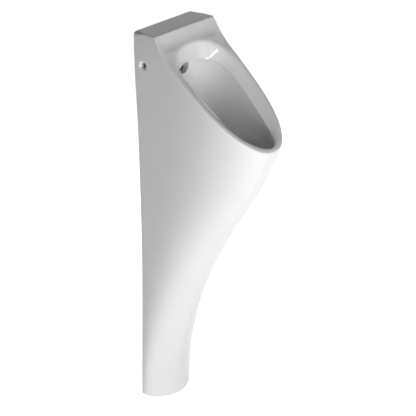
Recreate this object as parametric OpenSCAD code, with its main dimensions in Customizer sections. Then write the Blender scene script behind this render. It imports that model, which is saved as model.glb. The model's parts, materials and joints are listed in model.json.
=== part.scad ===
// Wall hung urinal with a slender column that hides its trap.
// Origin: on the wall plane and the centre line, level with the foot at the wall. +Z is up and
// -Y points at the user.

/* [China] */
// Height from the foot at the wall to the flat top
body_h = 950; // [800:10:1100]
// Width of the china against the wall, at the top
body_w = 214; // [195:1:240]
// How far the lip stands out from the wall
rim_reach = 356; // [320:1:400]
// Height of the lip above the foot
lip_h = 697; // [650:1:720]
// How far the shelf rises above the line of the rim
apron_rise = 23.5; // [20:0.5:28]
// Depth of the flat shelf at the top
shelf_d = 67; // [60:1:80]
// How far the foot stands out from the wall
foot_reach = 42; // [38:1:50]
// How much lower the foot's edge lies at the front than at the wall
foot_dip = 18; // [0:1:22]
// How far the sides swell out between the wall and the lip
side_swell = 12; // [0:0.5:14]
// Thickness of the china
china_t = 10; // [8:0.5:12]
// Flat land left round the outside of the rim
rim_land = 8.5; // [6:0.5:11]

/* [Bowl] */
// Half width of the bowl's mouth
mouth_half_w = 68; // [60:1:74]
// Distance from the wall to the back of the mouth
mouth_back = 86; // [82:1:92]
// Thickness of the lip at the front of the mouth
lip_t = 15; // [12:1:18]
// How far the mouth's edge lies below the rim at the sides
mouth_drop = 26; // [20:1:32]
// Further drop of the mouth's edge at the back
back_drop = 15; // [8:1:20]
// Distance from the wall to the bowl's back face
bowl_back = 67; // [64:1:72]
// How far the bowl's floor lies below the lip
bowl_drop = 122; // [112:1:132]

/* [Water inlet] */
// How far the inlet's axis lies below the back of the mouth
inlet_drop = 25.4; // [24:0.1:28]
// How far the china laps over the end of the flush pipe
inlet_lap = 1; // [0.5:0.5:1.5]
// Outer diameter of the flush pipe
inlet_pipe_d = 32; // [28:1:34]
// Wall of the flush pipe
inlet_pipe_t = 1.5; // [1:0.5:3]
// How far the flush pipe stands out behind the wall plane
inlet_tail = 60; // [40:1:80]
// Thickness of the rubber round the flush pipe
inlet_rubber_t = 5; // [4:0.5:6]
// How deep the rubber sits in its socket
inlet_rubber_l = 18; // [12:1:20]

/* [Hanger] */
// How far the fixing screws lie below the flat top
fixing_drop = 82; // [76:1:90]
// Distance from the wall to the fixing screws
fixing_d = 28; // [26:1:32]
// Thread diameter of the fixing screws
fixing_screw_d = 8; // [6:1:10]
// Bore of the fixing holes in the china
fixing_hole_d = 14; // [13:0.5:16]
// Mouth of the fixing holes
fixing_mouth_d = 23; // [20:0.5:25]
// Thickness of the bracket's steel
bracket_t = 4; // [3:0.5:5]
// Height of the bracket's wall plate
bracket_h = 76; // [70:1:84]
// Width of the bracket's wall plate
bracket_w = 34; // [30:1:40]
// How far the bracket's ear reaches past the fixing screws' axis
ear_lap = 16; // [13:1:18]
// Height of the bracket's ear
ear_h = 40; // [34:1:50]
// Diameter of the wall screw holes
wall_hole_d = 9; // [7:0.5:10]
// Distance between the two wall screw holes of one bracket
wall_hole_gap = 50; // [44:1:56]

/* [Outlet] */
// Land between the bowl's back face and the outlet flange
flange_land = 5; // [4:0.5:8]
// Diameter of the outlet flange
flange_d = 66; // [62:1:68]
// Thickness of the outlet flange
flange_t = 7; // [7:0.5:9]
// Outer diameter of the flange's tail
tail_d = 44; // [42:1:46]
// Wall of the flange's tail
tail_t = 2.5; // [2:0.5:3]
// How far the flange's tail reaches into the trap's neck
tail_lap = 5; // [4:0.5:7]
// Thickness of the rubber gaskets
gasket_t = 2.5; // [2:0.5:3]
// Thickness of the china floor that the flange clamps
seat_t = 14; // [12:1:16]
// Height of the back nut
backnut_h = 10; // [8:1:12]
// Width of the back nut across its flats
backnut_flats = 62; // [58:1:66]
// Diameter of the strainer
strainer_d = 50; // [46:1:54]
// Thickness of the strainer
strainer_t = 2.5; // [2:0.5:2.5]
// Diameter of the strainer's holes
strainer_hole_d = 5; // [4:0.5:6]

/* [Trap] */
// Outer diameter of the trap's bottle
bottle_d = 76; // [70:1:80]
// Wall of the trap's plastic pieces
trap_t = 2.5; // [2:0.5:3]
// Room between the trap's bottle and the china in front of it
trap_room = 3.3; // [2:0.1:6]
// How far the trap's outlet axis lies below the bowl's floor
trap_drop = 125; // [118:1:130]
// How far the joint of the bottle and its cup lies below the outlet axis
cup_drop = 58; // [54:1:62]
// Length of the cup below the joint
cup_l = 36.5; // [34:0.5:40]
// Length of the trap's neck
neck_l = 29; // [26:1:32]
// Length of the shoulder between the neck and the bottle
shoulder_l = 4.5; // [4:0.5:8]
// Depth of the water seal
seal_depth = 50; // [46:1:54]
// Outer diameter of the dip tube
dip_d = 30; // [26:1:32]
// Wall of the dip tube
dip_t = 1.5; // [1:0.5:2]
// Outer diameter of the waste pipe
waste_d = 50; // [46:1:54]
// Wall of the waste pipe
waste_t = 2; // [1.5:0.5:3]
// How far the waste pipe stands out behind the wall plane
waste_tail = 40; // [30:1:45]

/* [Hidden] */
$fn = 64;

china_colour = "white";
steel_colour = "silver";
chrome_colour = "gainsboro";
plastic_colour = "whitesmoke";
grey_plastic_colour = "lightgrey";
rubber_colour = "dimgray";
black_steel_colour = "black";

// How far a cut runs past the face that it cuts
overrun = 4;
// How far the funnel of the bowl runs past the face of the rim
rim_overrun = 1.5;
// Running clearance of a shaft in its own hole
running_gap = 0.05;
// Free gap between pieces that don't touch
free_gap = 0.3;

// Outline of the sides, as shares of the height and of the width
width_shares = [
    [0, 0.783], [0.15, 0.776], [0.3, 0.767], [0.4, 0.772], [0.5, 0.796], [0.6, 0.828],
    [0.7, 0.865], [0.8, 0.92], [0.9, 0.978], [0.95, 0.998], [1, 1]
];
// Outline of the front, as shares of the lip's height and of the lip's reach
depth_shares = [
    [0, 0.135], [0.11, 0.1594], [0.22, 0.2181], [0.33, 0.288], [0.42, 0.3562], [0.51, 0.4391], [0.6, 0.54],
    [0.68, 0.6412], [0.76, 0.7468], [0.87, 0.8816], [1, 0.9954], [1.09, 1.0549], [1.36, 1.06]
];
// Row of that outline that lies at the foot of the trap
trap_row = 5;
// Power of the section's curve and share of the side swell, at shares of the height
power_shares = [[0, 1.7], [0.2, 1.89], [0.4, 2.13], [0.6, 2.45], [0.74, 2.72], [0.85, 3.12], [1, 3.12]];
swell_shares = [[0, 0], [0.25, 0], [0.5, 0.35], [0.7, 0.75], [0.8, 1], [1, 1]];
// Power that moves the swell towards the lip
swell_power = 1.6;

// Rows of the bowl from its mouth down. The columns are the share of the way from the mouth's edge
// to the floor, the back and the front of the row, and its half width. The back and the front are
// shares of the way from the bowl's back face to the front of the mouth.
bowl_shares = [
    [0.06, 0.012, 1.002, 1.03], [0.2, 0, 0.985, 1.06], [0.4, 0, 0.93, 1.06], [0.6, 0, 0.83, 1],
    [0.78, 0, 0.68, 0.9], [0.9, 0, 0.54, 0.77], [0.97, 0, 0.43, 0.68], [1, 0.01, 0.29, 0.54]
];

body_rows = 34;
body_steps = 28;
hollow_rows = 18;
hollow_steps = 18;
bowl_steps = 36;
profile_steps = 14;

// Row of a table that holds the share t
function row_at(rows, t, i = 0) = i >= len(rows) - 2 || t < rows[i + 1][0] ? i : row_at(rows, t, i + 1);

// Smooth curve through a table of shares
function smooth(rows, share) =
    let (
        t = min(max(share, rows[0][0]), rows[len(rows) - 1][0]),
        i = row_at(rows, t),
        a = rows[max(i - 1, 0)],
        b = rows[i],
        c = rows[i + 1],
        d = rows[min(i + 2, len(rows) - 1)],
        span = c[0] - b[0],
        u = (t - b[0]) / span,
        start_slope = span * (c[1] - a[1]) / (c[0] - a[0]),
        end_slope = span * (d[1] - b[1]) / (d[0] - b[0])
    )
    b[1] * (2 * u ^ 3 - 3 * u ^ 2 + 1) + start_slope * (u ^ 3 - 2 * u ^ 2 + u)
        + c[1] * (3 * u ^ 2 - 2 * u ^ 3) + end_slope * (u ^ 3 - u ^ 2);

function signed_power(v, p) = sign(v) * pow(abs(v), p);

// Heights and depths of the outlet and of the trap, which the china's front follows
mouth_front = rim_reach - lip_t;
floor_h = lip_h - bowl_drop;
outlet_d = bowl_back + flange_land + flange_d / 2;
trap_out_h = floor_h - trap_drop;
cup_joint_h = trap_out_h - cup_drop;
cup_bottom_h = cup_joint_h - cup_l;
trap_reach = outlet_d + bottle_d / 2 + trap_room + china_t;

// Level in the outline's table of a height, and reach of the front at that height
foot_share = depth_shares[0][1];
trap_level_share = depth_shares[trap_row][0];
trap_share = depth_shares[trap_row][1];
function level_share(z) =
    z < cup_bottom_h
        ? trap_level_share * z / cup_bottom_h
        : trap_level_share + (1 - trap_level_share) * (z - cup_bottom_h) / (lip_h - cup_bottom_h);
function front_reach(z) =
    let (share = smooth(depth_shares, level_share(z)))
    share < trap_share
        ? foot_reach + (trap_reach - foot_reach) * (share - foot_share) / (trap_share - foot_share)
        : trap_reach + (rim_reach - trap_reach) * (share - trap_share) / (1 - trap_share);

// Point of the china's section at height z, where angle runs from 0 at one side to 180 at the other
function section_point(z, angle, inset) =
    let (
        t = z / body_h,
        power = smooth(power_shares, t),
        half_w = body_w / 2 * smooth(width_shares, t) - inset,
        deep = front_reach(z) - inset,
        v = pow(abs(sin(angle)), 2 / power),
        swell = side_swell * smooth(swell_shares, t) * sin(180 * v ^ swell_power)
    )
    [(half_w + swell) * signed_power(cos(angle), 2 / power), -deep * v, z];

function section_row(z, steps, inset) =
    let (half_w = section_point(z, 0, inset)[0])
    concat(
        [for (k = [0:steps]) section_point(z, 180 * k / steps, inset)],
        [[-half_w, overrun, z], [half_w, overrun, z]]
    );

// Height of the rim's line at a distance from the wall, with the cove up to the shelf
apron_end = shelf_d * 2;
rim_slope = (body_h - lip_h - apron_rise) / (rim_reach - shelf_d);
function rim_z(deep) =
    let (u = max((apron_end - deep) / (apron_end - shelf_d), 0))
    lip_h + rim_slope * (rim_reach - deep) + apron_rise * u ^ 3;

// Loops round the mouth, with angle 0 at the back and 180 at the front
function oval(angle, middle, back, front, half_w, back_power, front_power) =
    let (
        c = cos(angle),
        power = c > 0 ? back_power : front_power,
        reach = c > 0 ? middle - back : front - middle
    )
    [half_w * signed_power(sin(angle), 2 / power), middle - reach * signed_power(c, 2 / power)];

rim_middle_share = 0.18;
rim_middle = apron_end + (rim_reach - apron_end) * rim_middle_share;
crest_back_share = 1.25;
crest_back = shelf_d + (mouth_back - shelf_d) * crest_back_share;
rim_half_w = body_w / 2 + side_swell / 3;
crest_power = 2.4;
back_power = 2.7;
front_power = 2.05;
mouth_middle_share = 0.27;
mouth_front_share = 0.94;
bowl_middle_share = 0.35;

function crest_point(angle, grow) =
    let (
        p = oval(angle, rim_middle, crest_back - grow, rim_reach - lip_t / 2 + grow,
                 rim_half_w - rim_land + grow, crest_power, front_power)
    )
    [p[0], -p[1], rim_z(p[1]) + rim_overrun];

mouth_middle = mouth_back + (mouth_front - mouth_back) * mouth_middle_share;
function mouth_point(angle, grow) =
    let (
        p = oval(angle, mouth_middle, mouth_back - grow, mouth_front + grow, mouth_half_w + grow,
                 back_power, front_power),
        v = (p[1] - mouth_back) / (mouth_front - mouth_back),
        line = lip_h + rim_slope * (rim_reach - p[1]),
        side_share = 1 - mouth_front_share * max(v, 0) ^ 5,
        back_share = (1 - v) ^ 3
    )
    [p[0], -p[1], line - mouth_drop * side_share - back_drop * back_share];

function bowl_point(row, angle, grow) =
    let (
        span = mouth_front - bowl_back,
        back = bowl_back + span * row[1] - grow,
        front = bowl_back + span * row[2] + grow,
        p = oval(angle, back + (front - back) * bowl_middle_share, back, front, mouth_half_w * row[3] + grow,
                 back_power, front_power),
        edge = mouth_point(angle, 0)[2],
        base = floor_h - grow
    )
    [p[0], -p[1], edge + (base - edge) * row[0]];

// Solid between stacked loops of equal count, first loop lowest
module loft(loops) {
    count = len(loops[0]);
    levels = len(loops);
    sides = [
        for (i = [0:levels - 2], k = [0:count - 1])
            let (a = i * count + k, b = i * count + (k + 1) % count)
            each [[a, b + count, a + count], [a, b, b + count]]
    ];
    bottom = [for (k = [count - 1:-1:0]) k];
    top = [for (k = [0:count - 1]) (levels - 1) * count + k];
    polyhedron(points = [for (loop = loops) each loop], faces = concat(sides, [bottom, top]));
}

// Upright body of the china, without its slanting rim
module body_loft(rows, steps, inset) {
    low = -foot_dip - overrun;
    high = body_h + overrun;
    loft([for (i = [0:rows]) section_row(low + (high - low) * i / rows, steps, inset)]);
}

// Everything under the shelf, the cove and the rim, as seen from the side
module side_profile(lower, behind, below) {
    front = rim_reach * 2;
    dip_slope = foot_dip / foot_reach;
    points = concat(
        [[-behind, dip_slope * behind - below], [-behind, body_h - lower], [shelf_d - lower, body_h - lower]],
        [for (i = [1:profile_steps])
            let (deep = shelf_d + (apron_end - shelf_d) * i / profile_steps)
            [deep - lower, rim_z(deep) - lower]],
        [[front, rim_z(front) - lower], [front, -dip_slope * front - below]]
    );
    rotate([90, 0, -90]) linear_extrude(body_w * 2, center = true) polygon(points);
}

function bowl_loop(row, grow) =
    [for (k = [0:bowl_steps - 1]) bowl_point(row, 360 * k / bowl_steps, grow)];

// Hollow of the bowl with the funnel of the rim, or the same hollow grown by a wall
module bowl_loft(grow) {
    low_rows = [for (i = [len(bowl_shares) - 1:-1:0]) bowl_loop(bowl_shares[i], grow)];
    mouth = [for (k = [0:bowl_steps - 1]) mouth_point(360 * k / bowl_steps, grow)];
    crest = [for (k = [0:bowl_steps - 1]) crest_point(360 * k / bowl_steps, grow)];
    top = [for (p = crest) [p[0], p[1], body_h + overrun]];
    loft(concat(low_rows, [mouth, crest, top]));
}

// Heights of what is stacked at the outlet
flange_top = floor_h;
flange_under = flange_top - flange_t;
seat_top = flange_under - gasket_t;
seat_under = seat_top - seat_t;
lower_gasket_under = seat_under - gasket_t;
backnut_under = lower_gasket_under - backnut_h;
branch_d = waste_d + trap_t * 2;
shoulder_h = trap_out_h + branch_d / 2;
neck_under = shoulder_h + shoulder_l;
neck_top = neck_under + neck_l;
tail_end = neck_top - tail_lap;
seat_hole_d = tail_d + gasket_t * 2;
seat_boss_d = flange_d + china_t * 2;

// Places in the wall of the bowl's back and in the inlet socket
inlet_h = mouth_point(0, 0)[2] - inlet_drop;
inlet_hole_d = inlet_pipe_d - inlet_lap * 2;
bowl_back_rear = bowl_back - china_t;
inlet_socket_d = inlet_pipe_d + inlet_rubber_t * 2;
inlet_socket_floor = bowl_back_rear - china_t / 2;
inlet_boss_end = inlet_socket_floor - inlet_rubber_l;

// Lip of the rubber pieces and depth of the sleeves in the wall
rubber_lip = 2.5;
sleeve_depth = 25;

// Places along the fixing screws' axis
fixing_h = body_h - fixing_drop;
ear_l = fixing_d + ear_lap;
fixing_seat = body_w / 2 - china_t * 2;
sleeve_flange_t = 2.5;
sleeve_flange_d = fixing_mouth_d;
sleeve_bore_d = fixing_screw_d + free_gap * 2;
ear_out = fixing_seat - sleeve_flange_t;
ear_in = ear_out - bracket_t;
nut_flats = 13;
nut_t = 6.5;
fixing_boss_d = fixing_mouth_d + china_t;
mouth_depth = (fixing_mouth_d - fixing_hole_d) / 2;
fixing_skin = section_point(fixing_h, 0, 0)[0];

wall_hole_x = ear_in - (bracket_w - bracket_t) / 2;
sleeve_outer_end = fixing_seat + sleeve_flange_t;

// Heights of the strainer and of the insert in the flange
strainer_rings = 2;
strainer_pitch = 8.5;
strainer_seat = flange_top - strainer_t;
insert_rim_t = 2;
insert_rim_d = (strainer_d + tail_d) / 2 - tail_t;
insert_seat = strainer_seat - insert_rim_t;
collar_d = tail_d - tail_t * 2 - running_gap * 2;
collar_t = trap_t;
o_ring_h = 4;
groove_under = insert_seat - collar_t - o_ring_h;
insert_end = trap_out_h - waste_d / 2 + waste_t - seal_depth;

// Sizes of the trap's neck and of its union nut
washer_t = 3;
neck_wall = 5;
neck_d = tail_d + neck_wall * 2;
union_wall = 5;
union_d = neck_d + union_wall * 2;
union_step = 10;
union_under = neck_top - union_step;
union_h = union_step + washer_t + trap_t;
grip_count = 16;
grip_d = 4;
cup_collar_d = bottle_d + trap_t * 2;
collar_low = 9;
collar_high = 9;
cup_taper = 10;
cup_taper_h = 12;

// Places along the trap's side branch
branch_l = 30;
socket_end = outlet_d - bottle_d / 2;
branch_end = socket_end - branch_l;
branch_stop = 3;
branch_bore_d = waste_d - branch_stop * 2;
waste_nut_d = branch_d + union_wall * 2;
waste_nut_grip = 10;
waste_nut_h = trap_t + washer_t + waste_nut_grip;
waste_nut_end = branch_end - washer_t - trap_t;

module on_wall_axis(x, z) {
    translate([x, 0, z]) rotate([90, 0, 0]) children();
}

module on_side_axis(side) {
    mirror([side < 0 ? 1 : 0, 0, 0]) translate([0, -fixing_d, fixing_h]) rotate([0, 90, 0]) children();
}

module at_outlet(z) {
    translate([0, -outlet_d, z]) children();
}

module ring(outer_d, inner_d, h) {
    difference() {
        cylinder(d = outer_d, h = h);
        translate([0, 0, -overrun]) cylinder(d = inner_d, h = h + overrun * 2);
    }
}

module hexagon_nut(flats, inner_d, h) {
    difference() {
        cylinder(d = flats / cos(30), h = h, $fn = 6);
        translate([0, 0, -overrun]) cylinder(d = inner_d, h = h + overrun * 2);
    }
}

// Hollow behind and under the bowl, open to the wall and at the foot
module hollow() {
    difference() {
        intersection() {
            body_loft(hollow_rows, hollow_steps, china_t);
            side_profile(china_t, overrun, overrun);
        }
        bowl_loft(china_t);
        at_outlet(seat_under) cylinder(d = seat_boss_d, h = seat_boss_d);
        on_wall_axis(0, inlet_h) translate([0, 0, inlet_boss_end])
            cylinder(d = inlet_socket_d + china_t, h = bowl_back);
        for (side = [-1, 1])
            on_side_axis(side) translate([0, 0, fixing_seat]) cylinder(d = fixing_boss_d, h = body_w);
    }
}

module ceramic_body() {
    color(china_colour) difference() {
        intersection() {
            body_loft(body_rows, body_steps, 0);
            side_profile(0, 0, 0);
        }
        hollow();
        bowl_loft(0);
        at_outlet(seat_under - overrun) cylinder(d = seat_hole_d, h = seat_t + overrun * 2);
        at_outlet(seat_top) cylinder(d = flange_d + free_gap * 2, h = flange_t + gasket_t + overrun);
        on_wall_axis(0, inlet_h) {
            translate([0, 0, inlet_boss_end - overrun])
                cylinder(d = inlet_socket_d, h = inlet_rubber_l + overrun);
            translate([0, 0, inlet_boss_end]) cylinder(d = inlet_hole_d, h = bowl_back);
        }
        for (side = [-1, 1]) on_side_axis(side) {
            cylinder(d = fixing_hole_d, h = body_w);
            translate([0, 0, fixing_skin - mouth_depth])
                cylinder(d1 = fixing_hole_d, d2 = fixing_mouth_d * 2 - fixing_hole_d, h = mouth_depth * 2);
        }
    }
}

// Steel angle on the wall: a plate with two wall screw holes and an ear that the fixing screw pulls
module hanger_bracket(side) {
    mirror([side < 0 ? 1 : 0, 0, 0]) difference() {
        union() {
            translate([ear_out - bracket_w, -bracket_t, fixing_h - bracket_h / 2])
                cube([bracket_w, bracket_t, bracket_h]);
            translate([ear_in, -ear_l, fixing_h - ear_h / 2]) cube([bracket_t, ear_l, ear_h]);
        }
        for (end = [-1, 1])
            on_wall_axis(wall_hole_x, fixing_h + end * wall_hole_gap / 2)
                translate([0, 0, -overrun]) cylinder(d = wall_hole_d, h = bracket_t + overrun * 2);
        on_side_axis(1) cylinder(d = fixing_screw_d + free_gap * 2, h = body_w);
    }
}

module hanger_bracket_left() {
    color(steel_colour) hanger_bracket(-1);
}

module hanger_bracket_right() {
    color(steel_colour) hanger_bracket(1);
}

module bracket_cage_nuts() {
    color(steel_colour) for (side = [-1, 1])
        on_side_axis(side) translate([0, 0, ear_in - nut_t])
            hexagon_nut(nut_flats, fixing_screw_d + running_gap * 2, nut_t);
}

// Socket screws that reach from the china's side holes into the cage nuts
module clamp_screws() {
    socket_d = 5;
    head_d = fixing_hole_d - free_gap * 2;
    head_t = 4;
    head_seat = sleeve_outer_end;
    tip_l = 4;
    tip = ear_in - nut_t - tip_l;
    color(black_steel_colour) for (side = [-1, 1]) on_side_axis(side) difference() {
        union() {
            translate([0, 0, tip]) cylinder(d = fixing_screw_d, h = head_seat - tip);
            translate([0, 0, head_seat]) cylinder(d = head_d, h = head_t);
        }
        translate([0, 0, head_seat]) cylinder(d = socket_d, h = head_t + overrun, $fn = 6);
    }
}

// Flanged plastic sleeves between the china and the steel
module clamp_sleeves() {
    color(grey_plastic_colour) for (side = [-1, 1]) on_side_axis(side) difference() {
        union() {
            translate([0, 0, ear_out]) cylinder(d = sleeve_flange_d, h = sleeve_flange_t);
            translate([0, 0, ear_out]) cylinder(d = fixing_hole_d, h = sleeve_outer_end - ear_out);
        }
        cylinder(d = sleeve_bore_d, h = body_w);
    }
}

// Flush pipe from the wall to the socket behind the bowl
module inlet_pipe() {
    color(chrome_colour) on_wall_axis(0, inlet_h) translate([0, 0, -inlet_tail])
        ring(inlet_pipe_d, inlet_pipe_d - inlet_pipe_t * 2, inlet_socket_floor + inlet_tail);
}

module inlet_seal() {
    color(rubber_colour) on_wall_axis(0, inlet_h) {
        translate([0, 0, inlet_boss_end]) ring(inlet_socket_d, inlet_pipe_d, inlet_rubber_l);
        translate([0, 0, inlet_boss_end - rubber_lip])
            ring(inlet_socket_d + inlet_rubber_t, inlet_pipe_d, rubber_lip);
    }
}

// Rubber sleeve that reaches into the wall, with a lip on the wall's face
module wall_sleeve(pipe_d) {
    translate([0, 0, -sleeve_depth]) ring(pipe_d + inlet_rubber_t * 2, pipe_d, sleeve_depth);
    ring(pipe_d + inlet_rubber_t * 4, pipe_d, rubber_lip);
}

module inlet_wall_sleeve() {
    color(rubber_colour) on_wall_axis(0, inlet_h) wall_sleeve(inlet_pipe_d);
}

// Flange in the bowl's floor, with its threaded tail, a step for the strainer and one for the insert
module outlet_flange() {
    color(chrome_colour) at_outlet(tail_end) difference() {
        union() {
            cylinder(d = tail_d, h = flange_under - tail_end);
            translate([0, 0, flange_under - tail_end]) cylinder(d = flange_d, h = flange_t);
        }
        translate([0, 0, -overrun]) cylinder(d = tail_d - tail_t * 2, h = flange_top);
        translate([0, 0, insert_seat - tail_end]) cylinder(d = insert_rim_d + free_gap * 2, h = flange_top);
        translate([0, 0, strainer_seat - tail_end]) cylinder(d = strainer_d + free_gap * 2, h = flange_top);
    }
}

module outlet_top_gasket() {
    color(rubber_colour) at_outlet(seat_top) ring(flange_d, tail_d, gasket_t);
}

module outlet_bottom_gasket() {
    color(rubber_colour) at_outlet(lower_gasket_under) ring(flange_d, tail_d, gasket_t);
}

module outlet_backnut() {
    color(plastic_colour) at_outlet(backnut_under)
        hexagon_nut(backnut_flats, tail_d + running_gap * 2, backnut_h);
}

// Round grid that lies on the flange's step
module strainer() {
    color(chrome_colour) at_outlet(strainer_seat) difference() {
        cylinder(d = strainer_d, h = strainer_t);
        for (n = [1:strainer_rings], k = [0:n * 6 - 1])
            rotate([0, 0, 360 * k / (n * 6)]) translate([strainer_pitch * n, 0, -overrun])
                cylinder(d = strainer_hole_d, h = strainer_t + overrun * 2, $fn = 24);
        translate([0, 0, -overrun]) cylinder(d = strainer_hole_d, h = strainer_t + overrun * 2, $fn = 24);
    }
}

// Dip tube that hangs in the flange and makes the water seal
module trap_insert() {
    color(grey_plastic_colour) at_outlet(insert_end) difference() {
        union() {
            cylinder(d = dip_d, h = insert_seat - insert_end);
            translate([0, 0, groove_under - collar_t - insert_end]) cylinder(d = collar_d, h = collar_t);
            translate([0, 0, insert_seat - collar_t - insert_end]) cylinder(d = collar_d, h = collar_t);
            translate([0, 0, insert_seat - insert_end]) cylinder(d = insert_rim_d, h = insert_rim_t);
        }
        translate([0, 0, -overrun]) cylinder(d = dip_d - dip_t * 2, h = flange_top);
    }
}

// Rubber ring between the insert's collars
module insert_o_rings() {
    color(rubber_colour) at_outlet(groove_under)
        ring(collar_d + running_gap, dip_d, insert_seat - collar_t - groove_under);
}

module trap_union_nut() {
    color(plastic_colour) at_outlet(union_under) difference() {
        cylinder(d = union_d, h = union_h);
        translate([0, 0, -overrun])
            cylinder(d = neck_d + running_gap * 2, h = union_step + washer_t + overrun);
        cylinder(d = tail_d + running_gap * 2, h = union_h + overrun);
        for (k = [0:grip_count - 1]) rotate([0, 0, 360 * k / grip_count])
            translate([union_d / 2 + grip_d / 4, 0, -overrun])
                cylinder(d = grip_d, h = union_h + overrun * 2, $fn = 16);
    }
}

module trap_union_washer() {
    color(rubber_colour) at_outlet(neck_top) ring(neck_d, tail_d, washer_t);
}

// Bottle with its neck and side branch
module trap_body() {
    color(plastic_colour) difference() {
        union() {
            at_outlet(neck_under) cylinder(d = neck_d, h = neck_top - neck_under);
            at_outlet(shoulder_h) cylinder(d1 = bottle_d, d2 = neck_d, h = neck_under - shoulder_h);
            at_outlet(cup_joint_h) cylinder(d = bottle_d, h = shoulder_h - cup_joint_h);
            on_wall_axis(0, trap_out_h) translate([0, 0, branch_end])
                cylinder(d = branch_d, h = outlet_d - branch_end);
        }
        at_outlet(cup_joint_h - overrun)
            cylinder(d = bottle_d - trap_t * 2, h = shoulder_h - cup_joint_h + overrun);
        at_outlet(shoulder_h)
            cylinder(d1 = bottle_d - trap_t * 2, d2 = tail_d + free_gap * 2, h = neck_under - shoulder_h);
        at_outlet(neck_under - overrun)
            cylinder(d = tail_d + free_gap * 2, h = neck_top - neck_under + overrun * 2);
        on_wall_axis(0, trap_out_h) translate([0, 0, branch_end - overrun])
            cylinder(d = waste_d + running_gap * 2, h = socket_end - branch_end + overrun);
        on_wall_axis(0, trap_out_h) translate([0, 0, branch_end])
            cylinder(d = branch_bore_d, h = outlet_d - branch_end);
    }
}

// Cup that closes the bottle, with a collar that overlaps its wall
module trap_cup() {
    color(plastic_colour) difference() {
        union() {
            at_outlet(cup_bottom_h) cylinder(d1 = bottle_d - cup_taper * 2, d2 = bottle_d, h = cup_taper_h);
            at_outlet(cup_bottom_h + cup_taper_h)
                cylinder(d = bottle_d, h = cup_joint_h - washer_t - cup_bottom_h - cup_taper_h);
            at_outlet(cup_joint_h - collar_low) cylinder(d = cup_collar_d, h = collar_low + collar_high);
        }
        at_outlet(cup_bottom_h + trap_t)
            cylinder(d1 = bottle_d - cup_taper * 2 - trap_t * 2, d2 = bottle_d - trap_t * 2, h = cup_taper_h);
        at_outlet(cup_bottom_h + trap_t + cup_taper_h)
            cylinder(d = bottle_d - trap_t * 2, h = cup_joint_h + overrun - cup_bottom_h - trap_t - cup_taper_h);
        at_outlet(cup_joint_h - washer_t)
            cylinder(d = bottle_d + running_gap * 2, h = washer_t + collar_high + overrun);
        for (k = [0:grip_count - 1]) rotate_at_outlet(360 * k / grip_count)
            translate([cup_collar_d / 2 + grip_d / 4, 0, cup_joint_h - collar_low - overrun])
                cylinder(d = grip_d, h = collar_low + collar_high + overrun * 2, $fn = 16);
    }
}

module rotate_at_outlet(angle) {
    at_outlet(0) rotate([0, 0, angle]) children();
}

module trap_cup_seal() {
    color(rubber_colour) at_outlet(cup_joint_h - washer_t) ring(bottle_d, bottle_d - trap_t * 2, washer_t);
}

module trap_outlet_nut() {
    color(plastic_colour) on_wall_axis(0, trap_out_h) translate([0, 0, waste_nut_end]) difference() {
        cylinder(d = waste_nut_d, h = waste_nut_h);
        translate([0, 0, -overrun]) cylinder(d = waste_d + running_gap * 2, h = waste_nut_h + overrun * 2);
        translate([0, 0, branch_end - washer_t - waste_nut_end])
            cylinder(d = branch_d + running_gap * 2, h = waste_nut_h);
    }
}

module trap_outlet_washer() {
    color(rubber_colour) on_wall_axis(0, trap_out_h) translate([0, 0, branch_end - washer_t])
        ring(branch_d, waste_d, washer_t);
}

// Waste pipe from the trap's branch into the wall
module waste_pipe() {
    color(plastic_colour) on_wall_axis(0, trap_out_h) translate([0, 0, -waste_tail])
        ring(waste_d, waste_d - waste_t * 2, socket_end + waste_tail);
}

module waste_wall_sleeve() {
    color(rubber_colour) on_wall_axis(0, trap_out_h) wall_sleeve(waste_d);
}

ceramic_body();
hanger_bracket_left();
hanger_bracket_right();
bracket_cage_nuts();
clamp_screws();
clamp_sleeves();
inlet_pipe();
inlet_seal();
inlet_wall_sleeve();
outlet_flange();
outlet_top_gasket();
outlet_bottom_gasket();
outlet_backnut();
strainer();
trap_insert();
insert_o_rings();
trap_union_nut();
trap_union_washer();
trap_body();
trap_cup();
trap_cup_seal();
trap_outlet_nut();
trap_outlet_washer();
waste_pipe();
waste_wall_sleeve();
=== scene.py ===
"""Wall hung urinal: the glazed china and the finishes of the fittings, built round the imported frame."""

import json
import math

import bmesh
import bpy
import numpy as np
from mathutils import Matrix, Vector


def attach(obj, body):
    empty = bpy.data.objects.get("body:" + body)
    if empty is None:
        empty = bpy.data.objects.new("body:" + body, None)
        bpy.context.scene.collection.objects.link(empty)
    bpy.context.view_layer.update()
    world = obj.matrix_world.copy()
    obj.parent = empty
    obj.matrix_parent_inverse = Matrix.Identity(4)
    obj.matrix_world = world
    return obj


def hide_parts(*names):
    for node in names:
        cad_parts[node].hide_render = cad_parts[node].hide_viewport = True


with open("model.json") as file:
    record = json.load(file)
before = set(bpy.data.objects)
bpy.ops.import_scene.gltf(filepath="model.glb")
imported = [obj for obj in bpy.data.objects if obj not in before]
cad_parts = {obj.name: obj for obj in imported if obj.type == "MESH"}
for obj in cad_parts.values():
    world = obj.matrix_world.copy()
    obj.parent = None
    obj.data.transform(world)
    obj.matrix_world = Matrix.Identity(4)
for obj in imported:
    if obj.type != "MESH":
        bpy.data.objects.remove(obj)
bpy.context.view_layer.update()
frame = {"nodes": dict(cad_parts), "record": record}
scene = bpy.context.scene
MM = 0.001

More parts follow.
